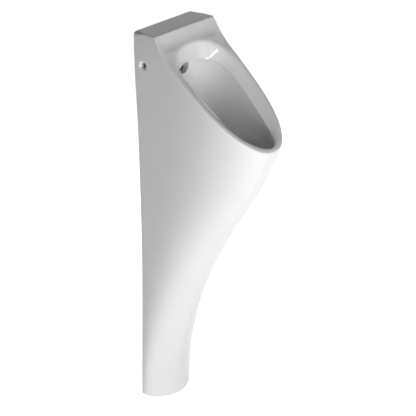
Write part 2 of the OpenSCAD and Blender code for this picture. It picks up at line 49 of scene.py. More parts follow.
# The china's sizes in millimetres, by the CAD source's names where it has them. The foot's reach,
# the sides' swell and the crest's land differ from it by up to 2 mm, to match the photograph.
BODY_H = 950.0  # height from the foot at the wall to the flat top
BODY_W = 214.0  # width against the wall, at the top
RIM_REACH = 356.0  # how far the lip stands out from the wall
LIP_H = 697.0  # height of the lip above the foot
APRON_RISE = 23.5  # how far the shelf rises above the line of the rim
SHELF_D = 67.0  # depth of the flat shelf
APRON_END = SHELF_D * 2  # depth at which the cove has run out into the rim
RIM_SLOPE = (BODY_H - LIP_H - APRON_RISE) / (RIM_REACH - SHELF_D)
FOOT_REACH = 41.0  # how far the foot stands out from the wall
FOOT_DIP = 18.0  # how much lower the foot's edge lies at the front than at the wall
SIDE_SWELL = 11.9  # how far the sides swell out between the wall and the lip
CHINA_T = 10.0  # thickness of the china
RIM_LAND = 10.4  # land left round the outside of the crest
LIP_T = 15.0  # thickness of the lip at the front of the mouth
CUP_BOTTOM_H = 355.5  # height of the trap's lowest point, which the column's front clears
TRAP_REACH = 156.3  # reach of the column's front at that height
CORNER_R = 3.0  # radius of the upright edges at the wall
CORNER_TOP = 10.0  # radius of the shelf's side edges at the wall
CORNER_FADE = 50.0  # depth over which that radius runs out
COVE_DIP = 5.0  # how far the cove sinks below the source's surface
COVE_SIDE = 34.0  # distance from the side at which the cove has its full dip
COVE_LAP = 2.0  # how far the dip runs on past the back of the crest

MOUTH_HALF_W = 68.0  # half width of the bowl's mouth
MOUTH_BACK = 86.0  # distance from the wall to the back of the mouth
MOUTH_FRONT = RIM_REACH - LIP_T
MOUTH_DROP = 26.0  # how far the mouth's edge lies below the rim at the sides
BACK_DROP = 15.0  # further drop of the mouth's edge at the back
BOWL_BACK = 67.0  # distance from the wall to the bowl's back face
FLOOR_H = 575.0  # height of the bowl's floor

OUTLET_D = 105.0  # distance from the wall to the outlet's axis
RECESS_R = 33.3  # radius of the flange's recess in the floor
SEAT_TOP = 565.5  # upper face of the china that the flange clamps
SEAT_UNDER = 551.5  # lower face of that china
SEAT_HOLE_R = 24.5  # hole for the flange's tail
SEAT_HOLE_L = 24.0  # length of its cut
SEAT_BOSS_R = 43.0  # boss round the seat
INLET_H = 845.012  # height of the flush pipe's axis
INLET_HOLE_R = 15.0  # hole through the bowl's back
INLET_HOLE_L = 34.0  # length of its cut
SOCKET_R = 21.0  # socket for the flush pipe's seal
SOCKET_WALL = 5.0  # china round the socket
SOCKET_FLOOR = 52.0  # distance from the wall to the socket's floor
SOCKET_END = 34.0  # distance from the wall to the socket's mouth
FIXING_H = 868.0  # height of the fixing screws
FIXING_D = 28.0  # distance from the wall to the fixing screws
FIXING_R = 7.0  # bore of the fixing holes
FIXING_MOUTH_R = 11.5  # mouth of the fixing holes
FIXING_SEAT = 87.0  # distance from the middle to the inner face of a fixing hole's boss
FIXING_LEAD = 6.0  # how far a fixing hole's cut starts inside that face
FIXING_BOSS_R = 16.5  # boss round a fixing hole
BOSS_L = 60.0  # length of the seat's and the fixing holes' bosses, to beyond the hollow
INLET_BOSS_L = 50.0  # length of the socket's boss, to beyond the hollow
SIDES = (("X", 1), ("-X", -1))  # axis and sign of the right and the left side
OVERRUN = 4.0  # how far a cut runs past the face that it cuts
HOLLOW_OVERRUN = 6.0  # how far the hollow runs past the wall's plane
ROOF_D = 40.0  # distance from the wall to the middle of the hollow's roof
FUNNEL_OVERRUN = 20.0  # how far the bowl's space runs on above the shelf
TINY = 0.01  # stands for zero where zero would give a point twice

# Shares of the height, with the section's share of the width and of the swell, and the powers of
# its curve along the sides and across the front
WIDTH_SHARES = [(0, .783), (.15, .776), (.3, .767), (.4, .772), (.5, .796), (.6, .828), (.7, .865),
                (.8, .92), (.9, .978), (.95, .998), (1, 1)]
SWELL_SHARES = [(0, 0), (.25, 0), (.5, .35), (.7, .75), (.8, 1), (1, 1)]
SIDE_POWERS = [(0, 2.2), (.1, 2.35), (.2, 2.6), (.3, 2.9), (.4, 3.15), (.6, 3.3), (.74, 3.2),
               (.85, 3.12), (1, 3.12)]
FRONT_POWERS = [(0, 1.6), (.1, 1.55), (.2, 1.58), (.3, 1.64), (.4, 1.76), (.6, 2.16), (.74, 2.56),
                (.85, 3.12), (1, 3.12)]
SWELL_POWER = 1.6  # moves the swell towards the lip
# Outline of the front, as shares of the lip's height and of the lip's reach
FOOT_SHARE = .135
TRAP_LEVEL, TRAP_SHARE = .51, .4391
DEPTH_SHARES = [(0, FOOT_SHARE), (.11, .1594), (.22, .2181), (.33, .288), (.42, .3562),
                (TRAP_LEVEL, TRAP_SHARE), (.6, .54), (.68, .6412), (.76, .7468), (.87, .8816),
                (1, .9954), (1.09, 1.0549), (1.36, 1.06)]
# Rows of the bowl: share of the way from the mouth's edge to the floor, back, front, half width
BOWL_SHARES = [(0, .0693, 1, 1), (.06, .012, 1.002, 1.03), (.2, 0, .985, 1.06), (.4, 0, .93, 1.06),
               (.6, 0, .83, 1), (.78, 0, .68, .9), (.9, 0, .54, .77), (.97, 0, .43, .68),
               (1, .01, .29, .54)]

# Loops round the mouth and the bowl: powers of their curves, and shares of the way to their widest
# place, to the crest's back and front, and of the mouth's rise to the lip
BACK_POWER, FRONT_POWER, CREST_POWER = 2.7, 2.05, 2.4
CREST_MIDDLE, MOUTH_MIDDLE, BOWL_MIDDLE = .18, .27, .35
CREST_BACK, CREST_FRONT, MOUTH_RISE = 1.25, .72, .94
CREST = {"middle": APRON_END + (RIM_REACH - APRON_END) * CREST_MIDDLE,
         "back": SHELF_D + (MOUTH_BACK - SHELF_D) * CREST_BACK,
         "front": RIM_REACH - LIP_T * CREST_FRONT,
         "half_w": BODY_W / 2 + SIDE_SWELL / 3 - RIM_LAND,
         "back_power": CREST_POWER}

# Mesh of the china: rows in each stretch of a column, from under the foot to the outlet's seat
STRETCH_ROWS = {"under": 6, "wall": 165, "top": 44, "funnel": 22, "bowl": 84, "floor": 9,
                "recess": 7}
# How soft the corner is where a stretch begins, at angles on the crest from back to front
SOFTNESS = {"top": ((0, .7, 1.2, 2.6, math.pi), (0, 0, .2, .5, .6)),
            "funnel": ((0, .6, 1.1, math.pi), (.9, .9, 1, 1)),
            "bowl": ((0, .7, 1.2, 2.0, 2.6, math.pi), (.8, .6, .35, .45, 1, 1)),
            "floor": ((0, math.pi), (.8, .8)),
            "recess": ((0, math.pi), (.3, .3))}
SOFT_REACH = 11.0  # distance from a corner over which it is soft
PATH_STEP = .5  # spacing of the points that are rounded
CRISP_STEPS, SOFT_STEPS = 3, 14  # half widths of the sharper and the softer rounding, in such steps
ROW_BASE, ROW_GAIN = .2, .9  # density of the rows away from corners, and what a corner adds
ROW_REACH, SHELF_ROW_REACH = 6.0, 5.0  # distances over which corners and the shelf's edge add it
ROWS_BELOW, ROWS_ABOVE = 6.0, 8.0  # how far the wall's rows run past the foot and past the top
UNDER_MIDDLE = .45  # middle of the underside, as a share of the foot's reach
UNDER_RUN = .16  # share of the way to that middle that has rows of its own
SECTION_SAMPLES, CREST_SAMPLES = 900, 4001  # points that the mesh's own are picked from
SPREAD_ROUNDS = 30  # rounds that spread the columns that share a place on the crest
LATHE_STEPS = 96  # sides of a round shape
JOIN_NEW, JOIN_CAD = 1e-7, 2e-6  # metres between points that become one, in new and in CAD meshes
CHINA_SHARP = 32  # degrees from which an edge of the china stays sharp


def smooth(rows, share, column=1):
    """Smooth curve through a table of shares, the same as in the CAD source."""
    r = np.array(rows, float)
    x, y = r[:, 0], r[:, column]
    t = np.clip(share, x[0], x[-1])
    i = np.clip(np.searchsorted(x, t, side="right") - 1, 0, len(x) - 2)
    a, c, d = np.maximum(i - 1, 0), i + 1, np.minimum(i + 2, len(x) - 1)
    span = x[c] - x[i]
    u = (t - x[i]) / span
    start = span * (y[c] - y[a]) / (x[c] - x[a])
    end = span * (y[d] - y[i]) / (x[d] - x[i])
    return (y[i] * (2 * u**3 - 3 * u**2 + 1) + start * (u**3 - 2 * u**2 + u)
            + y[c] * (3 * u**2 - 2 * u**3) + end * (u**3 - u**2))


def ease(value):
    """Smooth step from 0 to 1."""
    value = np.clip(value, 0, 1)
    return value * value * (3 - 2 * value)


def box_filter(values, half):
    """Running mean over 2 * half + 1 values, carried on past both ends so that these stay in place."""
    before = 2 * values[:1] - values[half:0:-1]
    after = 2 * values[-1:] - values[-2:-half - 2:-1]
    kernel = np.ones(2 * half + 1) / (2 * half + 1)
    return np.convolve(np.concatenate([before, values, after]), kernel, "valid")


def front_reach(z):
    """Distance from the wall to the front at height z."""
    above = TRAP_LEVEL + (1 - TRAP_LEVEL) * (z - CUP_BOTTOM_H) / (LIP_H - CUP_BOTTOM_H)
    share = float(smooth(DEPTH_SHARES, TRAP_LEVEL * z / CUP_BOTTOM_H if z < CUP_BOTTOM_H else above))
    if share < TRAP_SHARE:
        return FOOT_REACH + (TRAP_REACH - FOOT_REACH) * (share - FOOT_SHARE) / (TRAP_SHARE - FOOT_SHARE)
    return TRAP_REACH + (RIM_REACH - TRAP_REACH) * (share - TRAP_SHARE) / (1 - TRAP_SHARE)


def half_section(z, inset, count, corner):
    """Right half of the outline at height z: even points from the depth corner to the front."""
    s = np.linspace(0, 1, SECTION_SAMPLES)
    angle = math.pi / 2 * np.sin(math.pi / 2 * s) ** 2
    width, swell, side, front = (float(smooth(rows, z / BODY_H)) for rows in
                                 (WIDTH_SHARES, SWELL_SHARES, SIDE_POWERS, FRONT_POWERS))
    v = np.sin(angle) ** (2 / side)
    half_w = BODY_W / 2 * width - inset + SIDE_SWELL * swell * np.sin(math.pi * v**SWELL_POWER)
    x = half_w * np.abs(np.cos(angle)) ** (2 / front)
    deep = (front_reach(z) - inset) * v
    keep = deep > corner
    x, deep = np.append(np.interp(corner, deep, x), x[keep]), np.append(corner, deep[keep])
    run = np.append(0, np.cumsum(np.hypot(np.diff(x), np.diff(deep))))
    even = np.linspace(0, run[-1], count)
    return np.interp(even, run, x), np.interp(even, run, deep)


def rim_line(deep):
    """Height of the rim's straight slope at a distance from the wall."""
    return LIP_H + RIM_SLOPE * (RIM_REACH - deep)


def top_profile():
    """Depths and heights of the top surface, with the shelf's front edge rounded."""
    start, end, step, rounding = -60, 520, .25, 5  # mm, and the rounding's half width in steps
    deep = np.arange(start, end, step)
    u = np.maximum((APRON_END - deep) / (APRON_END - SHELF_D), 0)
    height = np.where(deep < SHELF_D, BODY_H, rim_line(deep) + APRON_RISE * u**3)
    return deep, box_filter(box_filter(height, rounding), rounding)


TOP_PROFILE = top_profile()
SHELF_SIDE = half_section(BODY_H, 0, 300, TINY)[::-1]


def top_z(deep):
    """Height of the top surface at a distance from the wall."""
    return np.interp(deep, *TOP_PROFILE)


def top_at(x, deep):
    """Height of the top surface, with the edge along the side rounded near the back corners."""
    radius = CORNER_TOP * (1 - ease(deep / CORNER_FADE)) + TINY
    inward = np.clip(np.interp(deep, *SHELF_SIDE) - x, 0, radius)
    return top_z(deep) - (radius - np.sqrt(radius**2 - (radius - inward) ** 2))


def cove_dip(x, deep):
    """How much the cove sinks between the shelf's front edge and the crest, away from the sides."""
    share = np.clip((deep - SHELF_D) / (CREST["back"] + COVE_LAP - SHELF_D), 0, 1)
    inward = np.clip(np.interp(deep, *SHELF_SIDE) - x, 0, None)
    return COVE_DIP * 4 * share * (1 - share) * ease(inward / COVE_SIDE)


def foot_z(deep):
    """Height of the foot's edge at a distance from the wall."""
    return -FOOT_DIP * deep / FOOT_REACH


def oval(angle, middle, back, front, half_w, back_power=BACK_POWER):
    """Loop of two half superellipses, with angle 0 at the back."""
    s, c = np.sin(angle), np.cos(angle)
    power = np.where(c > 0, back_power, FRONT_POWER)
    reach = np.where(c > 0, middle - back, front - middle)
    return (half_w * np.sign(s) * np.abs(s) ** (2 / power),
            middle - reach * np.sign(c) * np.abs(c) ** (2 / power))


def mouth(angle, grow=0.0):
    """Edge of the mouth, where the funnel under the crest meets the bowl."""
    span = MOUTH_FRONT - MOUTH_BACK
    x, deep = oval(angle, MOUTH_BACK + span * MOUTH_MIDDLE, MOUTH_BACK - grow, MOUTH_FRONT + grow,
                   MOUTH_HALF_W + grow)
    v = (deep - MOUTH_BACK) / span
    side_drop = MOUTH_DROP * (1 - MOUTH_RISE * np.maximum(v, 0) ** 5)
    return x, deep, rim_line(deep) - side_drop - BACK_DROP * (1 - v) ** 3


def bowl(share, angle, grow=0.0):
    """Point of the bowl at a share of the way from the mouth's edge to the floor."""
    span = MOUTH_FRONT - BOWL_BACK
    back = BOWL_BACK + span * smooth(BOWL_SHARES, share, 1) - grow
    front = BOWL_BACK + span * smooth(BOWL_SHARES, share, 2) + grow
    half_w = MOUTH_HALF_W * smooth(BOWL_SHARES, share, 3) + grow
    x, deep = oval(angle, back + (front - back) * BOWL_MIDDLE, back, front, half_w)
    edge, base = mouth(angle)[2], FLOOR_H - grow
    return x, deep, edge + (base - edge) * share


# Mesh helpers
def mesh_object(name, verts, faces):
    """Object of a mesh in metres, with its double points joined and its normals outwards."""
    mesh = bpy.data.meshes.new(name)
    mesh.from_pydata([tuple(v) for v in verts], [], faces)
    mesh.validate()
    bm = bmesh.new()
    bm.from_mesh(mesh)
    bmesh.ops.remove_doubles(bm, verts=bm.verts, dist=JOIN_NEW)
    bmesh.ops.recalc_face_normals(bm, faces=bm.faces)
    bm.to_mesh(mesh)
    bm.free()
    obj = bpy.data.objects.new(name, mesh)
    scene.collection.objects.link(obj)
    return obj


def shade(mesh, degrees):
    """Smooth shading, with edges sharper than the angle kept."""
    mesh.polygons.foreach_set("use_smooth", [True] * len(mesh.polygons))
    mesh.set_sharp_from_angle(angle=math.radians(degrees))
    mesh.update()


def grid_solid(name, loops):
    """Closed solid through stacked closed loops of equal count in mm, capped at both ends."""
    loops = np.asarray(loops, float)
    rows, count = loops.shape[:2]
    faces = []
    for i in range(rows - 1):
        for k in range(count):
            a, b = i * count + k, i * count + (k + 1) % count
            faces.append((a, b, b + count, a + count))
    faces.append(tuple(range(count - 1, -1, -1)))
    faces.append(tuple((rows - 1) * count + k for k in range(count)))
    return mesh_object(name, loops.reshape(-1, 3) * MM, faces)


def lathe(name, profile, place):
    """Closed solid of revolution, from a profile of (radius, height) in mm from end to end."""
    turn = np.linspace(0, 2 * math.pi, LATHE_STEPS, endpoint=False)
    obj = grid_solid(name, [[(r * math.cos(t), r * math.sin(t), h) for t in turn] for r, h in profile])
    obj.data.transform(place)
    obj.data.update()
    return obj


def cylinder(name, radius, length, place):
    """Closed cylinder that starts at its place."""
    return lathe(name, [(radius, 0), (radius, length)], place)


def at(x, y, z, axis="Z"):
    """Matrix that brings a shape to a place in mm, with its own Z along the axis."""
    turns = {"Z": Matrix.Identity(4), "-Y": Matrix.Rotation(math.pi / 2, 4, "X"),
             "X": Matrix.Rotation(math.pi / 2, 4, "Y"), "-X": Matrix.Rotation(-math.pi / 2, 4, "Y")}
    return Matrix.Translation(Vector((x, y, z)) * MM) @ turns[axis]


def cut(target, tool):
    """Takes the tool's volume out of the target, and the tool out of the scene."""
    mod = target.modifiers.new("cut", "BOOLEAN")
    mod.operation, mod.solver, mod.object = "DIFFERENCE", "MANIFOLD", tool
    bpy.context.view_layer.update()
    evaluated = target.evaluated_get(bpy.context.evaluated_depsgraph_get())
    made = bpy.data.meshes.new_from_object(evaluated)
    target.modifiers.clear()
    old, target.data = target.data, made
    bpy.data.meshes.remove(old)
    bpy.data.objects.remove(tool)
    return target


def straight(start, end, shares):
    """Points at shares of the way from start to end."""
    start, end = np.array(start, float), np.array(end, float)
    return start + (end - start) * np.asarray(shares)[:, None]


def run_along(path):
    """Distance along a path to each of its points."""
    return np.append(0, np.cumsum(np.linalg.norm(np.diff(path, axis=0), axis=1)))


def both_halves(half):
    """Loops of a whole body, from its right half's columns of (x, depth, height)."""
    left = half[-2:0:-1].copy()
    left[:, :, 0] *= -1
    whole = np.concatenate([half, left])
    whole[:, :, 1] *= -1
    return np.transpose(whole, (1, 0, 2))


# The china
def wall_columns(inset, side_points, back_points, corner):
    """Heights, and at each the half outline's x and depths, from the back's middle to the front."""
    low, high = -FOOT_DIP - ROWS_BELOW, BODY_H + ROWS_ABOVE
    heights = np.append(np.arange(low, high, 1.0), high)
    xs, depths = [], []
    for z in heights:
        x, deep = half_section(z, inset, side_points, max(corner, TINY))
        arc = np.linspace(-math.pi / 2, 0, 7)[:-1] if corner else np.empty(0)
        arc_x, arc_deep = x[0] - corner + corner * np.cos(arc), corner + corner * np.sin(arc)
        back_x = np.linspace(0, arc_x[0] if corner else x[0], back_points, endpoint=False)
        xs.append(np.concatenate([back_x, arc_x, x]))
        depths.append(np.concatenate([np.zeros(back_points), arc_deep, deep]))
    return heights, np.array(xs), np.array(depths)


def ridge_heights(heights, top):
    """Height at which each column meets the top surface; top is that surface over every point."""
    gap = top - heights[:, None]
    ridges = []
    for column in gap.T:
        i = int(np.argmax(column <= 0))
        share = column[i - 1] / (column[i - 1] - column[i])
        ridges.append(heights[i - 1] + (heights[i] - heights[i - 1]) * share)
    return np.array(ridges)


def crest_angles(xs, depths):
    """Angle on the crest that lies nearest to each ridge point, from the back to the front."""
    angle = np.linspace(0, math.pi, CREST_SAMPLES)
    crest_x, crest_deep = oval(angle, **CREST)
    near = [angle[np.argmin((crest_x - x) ** 2 + (crest_deep - deep) ** 2)]
            for x, deep in zip(xs, depths)]
    near[0], near[-1] = 0, math.pi
    near = np.maximum.accumulate(near)
    for _ in range(SPREAD_ROUNDS):
        near[1:-1] = (near[:-2] + 2 * near[1:-1] + near[2:]) / 4
    return near


def column_path(heights, x, deep, ridge, angle):
    """Points of one column, in the stretches that STRETCH_ROWS names."""
    rise = np.append(np.arange(foot_z(np.interp(0, heights, deep)), ridge - .5, 1.0), ridge)
    wall = np.column_stack([np.interp(rise, heights, x), np.interp(rise, heights, deep), rise])
    middle = FOOT_REACH * UNDER_MIDDLE
    under = straight(wall[0], (0, middle, foot_z(middle)), np.linspace(UNDER_RUN, 0, 9))
    crest = oval(angle, **CREST)
    steps = max(int(math.hypot(crest[0] - wall[-1, 0], crest[1] - wall[-1, 1])), 4)
    top_x, top_deep = straight(wall[-1, :2], crest, np.linspace(0, 1, steps + 1)).T
    top_height = np.minimum(top_at(top_x, top_deep), BODY_H) - cove_dip(top_x, top_deep)
    top = np.column_stack([top_x, top_deep, top_height])
    funnel = straight(top[-1], mouth(angle), np.linspace(0, 1, 30))
    inside = np.column_stack(bowl(np.linspace(0, 1, 400), np.full(400, angle)))
    hole_x, hole_deep = RECESS_R * math.sin(angle), OUTLET_D - RECESS_R * math.cos(angle)
    hole, seat = (hole_x, hole_deep, FLOOR_H), (hole_x, hole_deep, SEAT_TOP)
    floor_stretch = straight(inside[-1], hole, np.linspace(0, 1, 8))
    return [under, wall, top, funnel, inside, floor_stretch, straight(hole, seat, np.linspace(0, 1, 10))]


def round_corners(stretches, angle):
    """Even path through the stretches, with soft corners, and the points where they begin and end."""
    lengths, joined = [], [stretches[0][:1]]
    for part in stretches:
        run = run_along(part)
        count = max(int(round(run[-1] / PATH_STEP)), 3)
        keep = np.append(True, np.diff(run) > 1e-9)
        even = np.linspace(0, run[-1], count + 1)[1:]
        joined.append(np.column_stack([np.interp(even, run[keep], part[keep, i]) for i in range(3)]))
        lengths.append(count)
    path = np.concatenate(joined)
    ends = np.append(0, np.cumsum(lengths))
    crisp, soft = (np.column_stack([box_filter(box_filter(line, half), half) for line in path.T])
                   for half in (CRISP_STEPS, SOFT_STEPS))
    softness = np.zeros(len(path))
    for i, name in enumerate(STRETCH_ROWS):
        if name in SOFTNESS:
            away = (np.arange(len(path)) - ends[i]) * PATH_STEP / SOFT_REACH
            softness = np.maximum(softness, np.interp(angle, *SOFTNESS[name]) * np.exp(-(away**4)))
    return crisp + (soft - crisp) * softness[:, None], ends


def spread_rows(path, ends):
    """Points of the path at each stretch's number of rows, closer together near its corners."""
    run = run_along(path)
    rows = [0.0]
    for i, (name, count) in enumerate(STRETCH_ROWS.items()):
        start, end = run[ends[i]], run[ends[i + 1]]
        fine = np.linspace(start, end, 600)
        corners = np.exp(-((fine - start) / ROW_REACH) ** 2) + np.exp(-((fine - end) / ROW_REACH) ** 2)
        density = ROW_BASE + ROW_GAIN * corners
        if name == "top":  # more rows where the shelf breaks into the cove
            edge = run[ends[i] + int(np.argmax(path[ends[i]:ends[i + 1], 1] >= SHELF_D))]
            density += ROW_GAIN * np.exp(-((fine - edge) / SHELF_ROW_REACH) ** 2)
        total = np.append(0, np.cumsum((density[1:] + density[:-1]) / 2))
        rows += list(np.interp(np.linspace(0, total[-1], count + 1)[1:], total, fine))
    return np.column_stack([np.interp(rows, run, line) for line in path.T])


def make_china():
    """The china without its hollow and its holes."""
    heights, xs, depths = wall_columns(inset=0, side_points=120, back_points=26, corner=CORNER_R)
    ridges = ridge_heights(heights, top_at(xs, depths))
    columns = list(zip(xs.T, depths.T, ridges))
    angles = crest_angles([np.interp(ridge, heights, x) for x, _, ridge in columns],
                          [np.interp(ridge, heights, deep) for _, deep, ridge in columns])
    half = []
    for (x, deep, ridge), angle in zip(columns, angles):
        path, ends = round_corners(column_path(heights, x, deep, ridge, angle), angle)
        half.append(spread_rows(path, ends))
    half = np.array(half)
    half[:, :, 2] = np.maximum(half[:, :, 2], foot_z(half[:, :, 1]))
    half[0, :, 0] = half[-1, :, 0] = 0
    return grid_solid("china", both_halves(half))


def grown_bowl():
    """The bowl and its walls, open to above the shelf."""
    angle = np.linspace(0, 2 * math.pi, 120, endpoint=False)
    loops = [bowl(np.full_like(angle, share), angle, CHINA_T)
             for share in (1, .985, .97, .94, .9, .84, .78, .7, .6, .5, .4, .3, .2, .12, .06)]
    loops.append(mouth(angle, CHINA_T))
    grown = dict(CREST, back=CREST["back"] - CHINA_T, front=CREST["front"] + CHINA_T,
                 half_w=CREST["half_w"] + CHINA_T)
    x, deep = oval(angle, **grown)
    loops += [(x, deep, top_z(deep)), (x, deep, np.full_like(x, BODY_H + FUNNEL_OVERRUN))]
    loops = np.array([np.column_stack(loop) for loop in loops])
    loops[:, :, 1] *= -1
    return grid_solid("grown_bowl", loops)


def make_hollow():
    """Space behind and under the bowl: the inset body less the grown bowl and the bosses."""
    heights, xs, depths = wall_columns(inset=CHINA_T, side_points=60, back_points=14, corner=0)
    depths[depths < 2 * TINY] = -HOLLOW_OVERRUN
    ridges = ridge_heights(heights, top_z(depths) - CHINA_T)
    half = []
    for x, deep, ridge in zip(xs.T, depths.T, ridges):
        z = np.linspace(heights[0], ridge, 90)
        x, deep = np.interp(z, heights, x), np.interp(z, heights, deep)
        roof_x, roof_deep = straight((x[-1], deep[-1]), (0, ROOF_D), np.linspace(0, 1, 16)[1:-1]).T
        half.append(np.column_stack([np.append(x, roof_x), np.append(deep, roof_deep),
                                     np.append(z, top_z(roof_deep) - CHINA_T)]))
    hollow = grid_solid("hollow", both_halves(np.array(half)))
    cut(hollow, grown_bowl())
    cut(hollow, cylinder("seat_boss", SEAT_BOSS_R, BOSS_L, at(0, -OUTLET_D, SEAT_UNDER)))
    cut(hollow, cylinder("inlet_boss", SOCKET_R + SOCKET_WALL, INLET_BOSS_L,
                         at(0, -SOCKET_END, INLET_H, "-Y")))
    for axis, side in SIDES:
        cut(hollow, cylinder("fixing_boss", FIXING_BOSS_R, BOSS_L,
                             at(side * FIXING_SEAT, -FIXING_D, FIXING_H, axis)))
    return hollow


def countersink(length):
    """Profile of a fixing hole of that length: bore, cone at 45 degrees and softly rounded edge."""
    inner_r, edge_r = 3.6, 3.0  # radii of the roundings between bore and cone, and cone and skin
    inner_lead, edge_lead = 1.5, 1.2  # how far they start before the cone's two ends
    past_r, past_h = 6.0, 2.5  # last step of the profile, out past the skin
    slope = math.radians(45)
    start = length - (FIXING_MOUTH_R - FIXING_R) - inner_lead
    rows = [(FIXING_R, 0), (FIXING_R, start)]
    for t in np.radians(np.linspace(0, 45, 6))[1:]:
        rows.append((FIXING_R + inner_r * (1 - math.cos(t)), start + inner_r * math.sin(t)))
    for t in np.radians(np.linspace(45, 80, 8)):
        rows.append((FIXING_MOUTH_R - edge_lead + edge_r * (math.cos(slope) - math.cos(t)),
                     length - edge_lead + edge_r * (math.sin(t) - math.sin(slope))))
    rows.append((rows[-1][0] + past_r, rows[-1][1] + past_h))
    return rows


china = cut(make_china(), make_hollow())
cut(china, cylinder("seat_bore", SEAT_HOLE_R, SEAT_HOLE_L, at(0, -OUTLET_D, SEAT_UNDER - OVERRUN)))
cut(china, cylinder("socket_bore", SOCKET_R, SOCKET_FLOOR - SOCKET_END + OVERRUN,
                    at(0, -SOCKET_END + OVERRUN, INLET_H, "-Y")))
cut(china, cylinder("inlet_bore", INLET_HOLE_R, INLET_HOLE_L,
                    at(0, -SOCKET_FLOOR + OVERRUN, INLET_H, "-Y")))
fixing_start = FIXING_SEAT - FIXING_LEAD
points, beside_screws = 400, 30  # points of the half outline, and the one beside the screws
fixing_end = float(half_section(FIXING_H, 0, points, TINY)[0][beside_screws])
for axis, side in SIDES:
    cut(china, lathe("fixing_bore", countersink(fixing_end - fixing_start),
                     at(side * fixing_start, -FIXING_D, FIXING_H, axis)))
shade(china.data, CHINA_SHARP)
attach(china, "root")
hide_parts("ceramic_body")


# Finishes
class Nodes:
    """An empty node tree of a material or a world, with a short call to fill it."""

    def __init__(self, owner):
        owner.use_nodes = True
        self.owner = owner
        self.tree = owner.node_tree
        self.tree.nodes.clear()

    def add(self, kind, inputs, **settings):
        """Adds a node. An input, by name or number, takes a value or the output that feeds it."""
        node = self.tree.nodes.new("ShaderNode" + kind)
        for name, value in settings.items():
            setattr(node, name, value)
        for key, value in inputs.items():
            if isinstance(value, bpy.types.NodeSocket):
                self.tree.links.new(value, node.inputs[key])
            else:
                node.inputs[key].default_value = value
        return node

    def seen(self):
        """1 where the camera or a reflection looks, and 0 for the light that falls on things."""
        path = self.add("LightPath", {})
        return self.add("Math", {0: path.outputs["Is Camera Ray"], 1: path.outputs["Is Glossy Ray"]},
                        operation="ADD", use_clamp=True).outputs[0]


class Finish(Nodes):
    """A new material, with patterns in the object's own space, in metres."""

    def __init__(self, name):
        super().__init__(bpy.data.materials.new(name))
        self.place = self.add("TexCoord", {}).outputs["Object"]

    def noise(self, scale, detail=3.0, roughness=.5):
        """Soft noise with that many features to the metre, roughly."""
        return self.add("TexNoise", {"Vector": self.place, "Scale": scale, "Detail": detail,
                                     "Roughness": roughness}).outputs["Fac"]

    def ramp(self, value, low, high, start=.3, end=.7):
        """Runs from low to high while the value runs from start to end."""
        return self.add("MapRange", {"Value": value, "From Min": start, "From Max": end,
                                     "To Min": low, "To Max": high}).outputs["Result"]

    def blend(self, factor, a, b):
        """Colour between a and b. The mix has its sockets for colours at 6, 7 and output 2."""
        a, b = ((*tone, 1) if isinstance(tone, tuple) else tone for tone in (a, b))
        return self.add("Mix", {0: factor, 6: a, 7: b}, data_type="RGBA").outputs[2]

    def mix(self, factor, a, b):
        """Number between a and b. The mix has its sockets for numbers at 2, 3 and output 0."""
        return self.add("Mix", {0: factor, 2: a, 3: b}).outputs[0]

    def bump(self, height, distance, strength, over=None):
        """Surface raised by the height times the distance in metres, over an earlier bump if given."""
        inputs = {"Height": height, "Distance": distance, "Strength": strength}
        if over is not None:
            inputs["Normal"] = over
        return self.add("Bump", inputs).outputs["Normal"]

    def surface(self, inputs):
        """Closes the tree with a Principled shader and gives back the material."""
        shader = self.add("BsdfPrincipled", inputs)
        self.add("OutputMaterial", {"Surface": shader.outputs["BSDF"]})
        return self.owner


def china_material():
    """White glaze over vitreous china, bare and matt where it was ground flat for the wall."""
    finish = Finish("china_glaze")
    cloud = finish.ramp(finish.noise(9, detail=2), 0, 1)
    glaze = finish.blend(cloud, (.86, .86, .852), (.885, .885, .88))
    speck = finish.ramp(finish.noise(900, detail=2), 0, 1, start=.45, end=.7)
    bare = finish.blend(speck, (.78, .75, .69), (.70, .67, .61))
    from_wall = finish.add("SeparateXYZ", {0: finish.place}).outputs["Y"]
    ground = finish.ramp(from_wall, 0, 1, start=-.0009, end=-.0005)
    gloss = finish.ramp(finish.noise(14), .055, .085)
    wave = finish.bump(finish.noise(28, detail=1.5), distance=.00025, strength=.5)
    return finish.surface({
        "Base Color": finish.blend(ground, glaze, bare),
        "Roughness": finish.mix(ground, gloss, .85),
        "IOR": 1.5,
        "Normal": finish.bump(finish.noise(160, detail=1), distance=.00003, strength=.5, over=wave)})


def metal_material(name, tones, rough, grain, grain_depth):
    """Bright metal, with painted shade: near black within the radius of the flush pipe's bore, where the
    pipe's inside would lie in shade.
    """
    finish = Finish(name)
    # painted shade: within these radii from the flush pipe's axis the chrome turns near black, standing
    # in for the shade inside the bore
    shade_full_r, shade_end_r = .0146, .0152
    place = finish.place
    for operation, value in (("SUBTRACT", (0, 0, INLET_H * MM)), ("MULTIPLY", (1, 0, 1))):
        place = finish.add("VectorMath", {0: place, 1: value}, operation=operation).outputs["Vector"]
    from_axis = finish.add("VectorMath", {0: place}, operation="LENGTH").outputs["Value"]
    outside_painted_shade = finish.ramp(from_axis, 0, 1, start=shade_full_r, end=shade_end_r)
    tone = finish.ramp(finish.noise(grain, roughness=.6), 0, 1)
    return finish.surface({
        # painted shade: near black inside the bore, the chrome's own tones outside it
        "Base Color": finish.blend(outside_painted_shade, (.03, .03, .03), finish.blend(tone, *tones)),
        "Roughness": finish.ramp(finish.noise(grain * .6, detail=4, roughness=.6), *rough),
        "Metallic": 1,
        "Normal": finish.bump(finish.noise(grain * 2, roughness=.6), grain_depth, strength=.4)})


def plastic_material(name, tones, rough, grain_depth):
    """Moulded plastic, rubber or blackened steel with a fine grain."""
    finish = Finish(name)
    return finish.surface({
        "Base Color": finish.blend(finish.ramp(finish.noise(30), 0, 1), *tones),
        "Roughness": finish.ramp(finish.noise(60), *rough),
        "Normal": finish.bump(finish.noise(1400, detail=2), grain_depth, strength=.5)})


